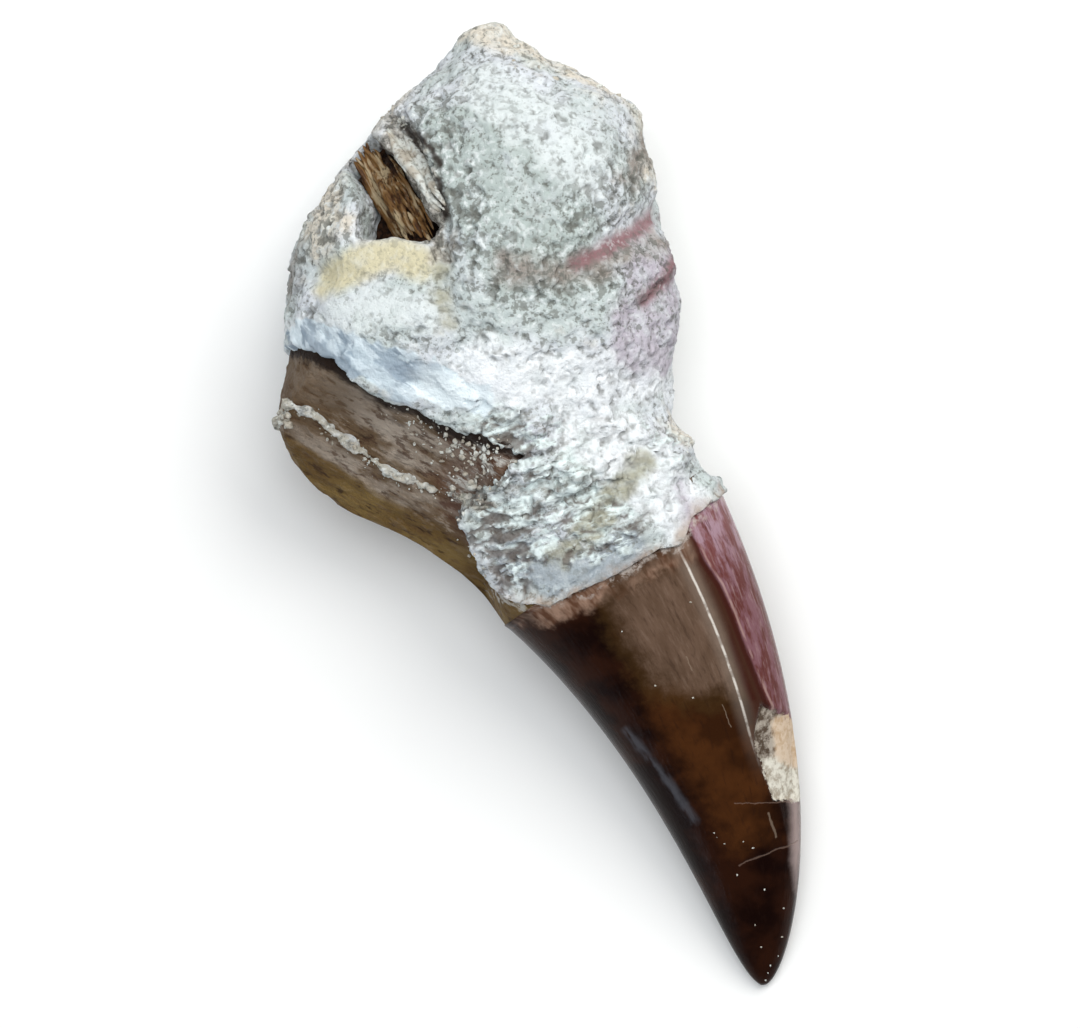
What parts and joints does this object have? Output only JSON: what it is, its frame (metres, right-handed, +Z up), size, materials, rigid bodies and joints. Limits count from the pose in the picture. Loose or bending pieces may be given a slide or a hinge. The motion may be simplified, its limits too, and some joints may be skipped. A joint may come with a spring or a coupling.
{
  "type": "fossil mosasaur tooth",
  "caption": "Fossil reptile tooth lying on its side: a curved glossy dark crown on a swollen root, crusted with pale sandy rock that has flaked off one side and opens on a fibrous pit.",
  "frame": {"origin": "centre of the bounding box, on the plane that the fossil rests on", "axes": "+Z up from the flat parting face that it rests on; +Y along its length towards the broken end of the root, with the crown towards -Y and its tip curving towards +X"},
  "size_m": [0.048, 0.0874, 0.0276],
  "materials": {
    "enamel_and_bone": "glossy dark brown enamel on the crown, dull brown bone on the bare side of the root",
    "sandy_rock": "rough, pitted, pale grey to cream sandy rock"
  },
  "bodies": {
    "root": {"tooth": "enamel_and_bone", "matrix": "sandy_rock"}
  },
  "joints": []
}
